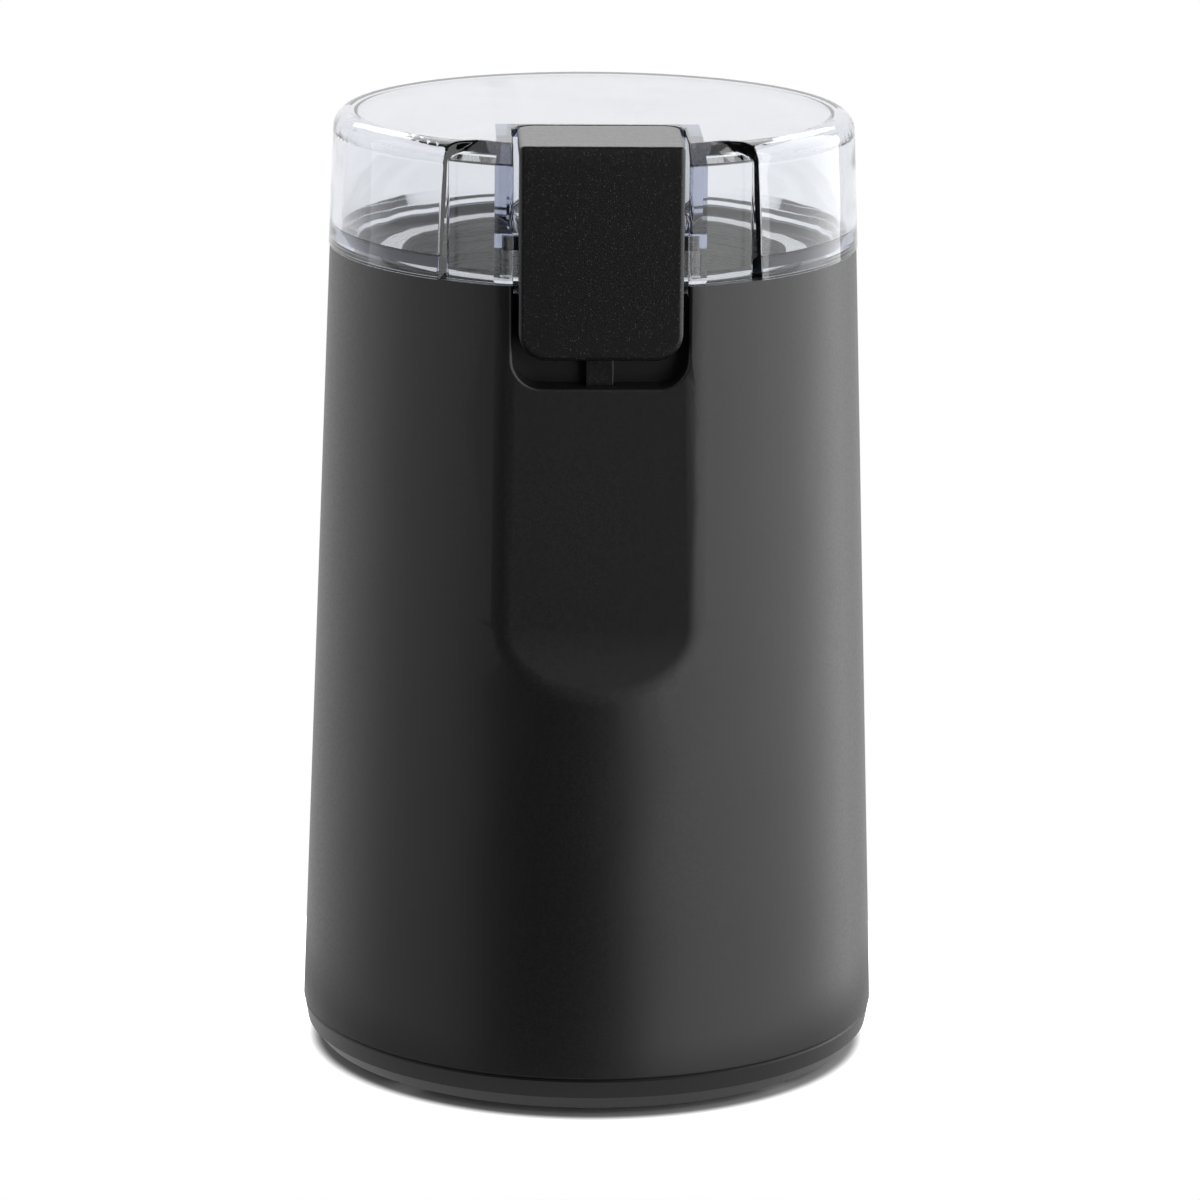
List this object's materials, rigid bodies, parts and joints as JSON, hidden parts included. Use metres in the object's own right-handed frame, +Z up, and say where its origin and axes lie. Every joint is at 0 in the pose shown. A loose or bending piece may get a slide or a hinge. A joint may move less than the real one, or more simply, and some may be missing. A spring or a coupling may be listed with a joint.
{
  "type": "electric coffee grinder",
  "caption": "Tapered black coffee grinder with a clear lift-off lid, a black press key at its front, and a motor-driven blade in a steel bowl.",
  "frame": {"origin": "on the floor under the middle of the base", "axes": "+Z up along the motor shaft, -Y towards the press key and finger groove"},
  "size_m": [0.096, 0.096, 0.1589],
  "materials": {
    "black_abs": "satin moulded ABS",
    "key_abs": "spark-textured ABS",
    "clear_lid": "polished clear SAN",
    "steel": "spun stainless steel",
    "zinc_steel": "zinc-plated steel",
    "rubber": "moulded rubber",
    "brass": "turned brass",
    "copper": "enamelled copper wire",
    "die_cast": "die-cast aluminium",
    "phenolic": "moulded phenolic",
    "laminations": "stacked steel laminations",
    "carbon": "pressed carbon",
    "white_pom": "moulded acetal"
  },
  "bodies": {
    "housing": {"outer_shell": "black_abs", "base_cover": "black_abs", "rubber_feet": "rubber", "base_screws": "zinc_steel", "cord_gland": "rubber", "bowl_carrier": "black_abs", "carrier_screws": "zinc_steel", "grinding_bowl": "steel", "bowl_seal": "rubber", "bowl_bush": "black_abs", "bush_nut": "brass", "shaft_seal": "rubber", "motor_dampers": "rubber", "damper_screws": "zinc_steel", "upper_bracket": "die_cast", "lower_bracket": "phenolic", "upper_bearing": "brass", "lower_bearing": "brass", "motor_bolts": "zinc_steel", "motor_nuts": "zinc_steel", "stator_core": "laminations", "field_coils": "copper", "brush_holders": "brass", "carbon_brushes": "carbon", "brush_springs": "zinc_steel", "switch_body": "phenolic", "switch_screws": "zinc_steel", "switch_terminals": "brass", "plunger_spring": "zinc_steel"},
    "rotor": {"motor_shaft": "steel", "armature_core": "laminations", "armature_winding": "copper", "commutator": "copper", "cooling_fan": "white_pom", "blade_hub": "black_abs", "blade": "steel", "blade_nut": "steel"},
    "lid": {"lid": "clear_lid"},
    "key": {"press_key": "key_abs"},
    "plunger": {"switch_plunger": "white_pom"}
  },
  "joints": [
    {"name": "rotor_spin", "type": "hinge", "parent": "housing", "child": "rotor", "pos_m": [0, 0, 0.065], "axis": [0, 0, 1], "continuous": true},
    {"name": "lid_lift", "type": "slide", "parent": "housing", "child": "lid", "axis": [0, 0, 1], "range_m": [0, 0.07]},
    {"name": "key_press", "type": "slide", "parent": "lid", "child": "key", "axis": [0, 0, -1], "range_m": [0, 0.004], "stiffness_N_per_m": 400, "springref_m": -0.003},
    {"name": "plunger_press", "type": "slide", "parent": "housing", "child": "plunger", "axis": [0, 0, -1], "range_m": [0, 0.004], "stiffness_N_per_m": 200, "springref_m": -0.003, "deforming": ["plunger_spring"]}
  ],
  "couplings": [
    {"joint": "plunger_press", "follows": "key_press", "ratio": 1}
  ]
}
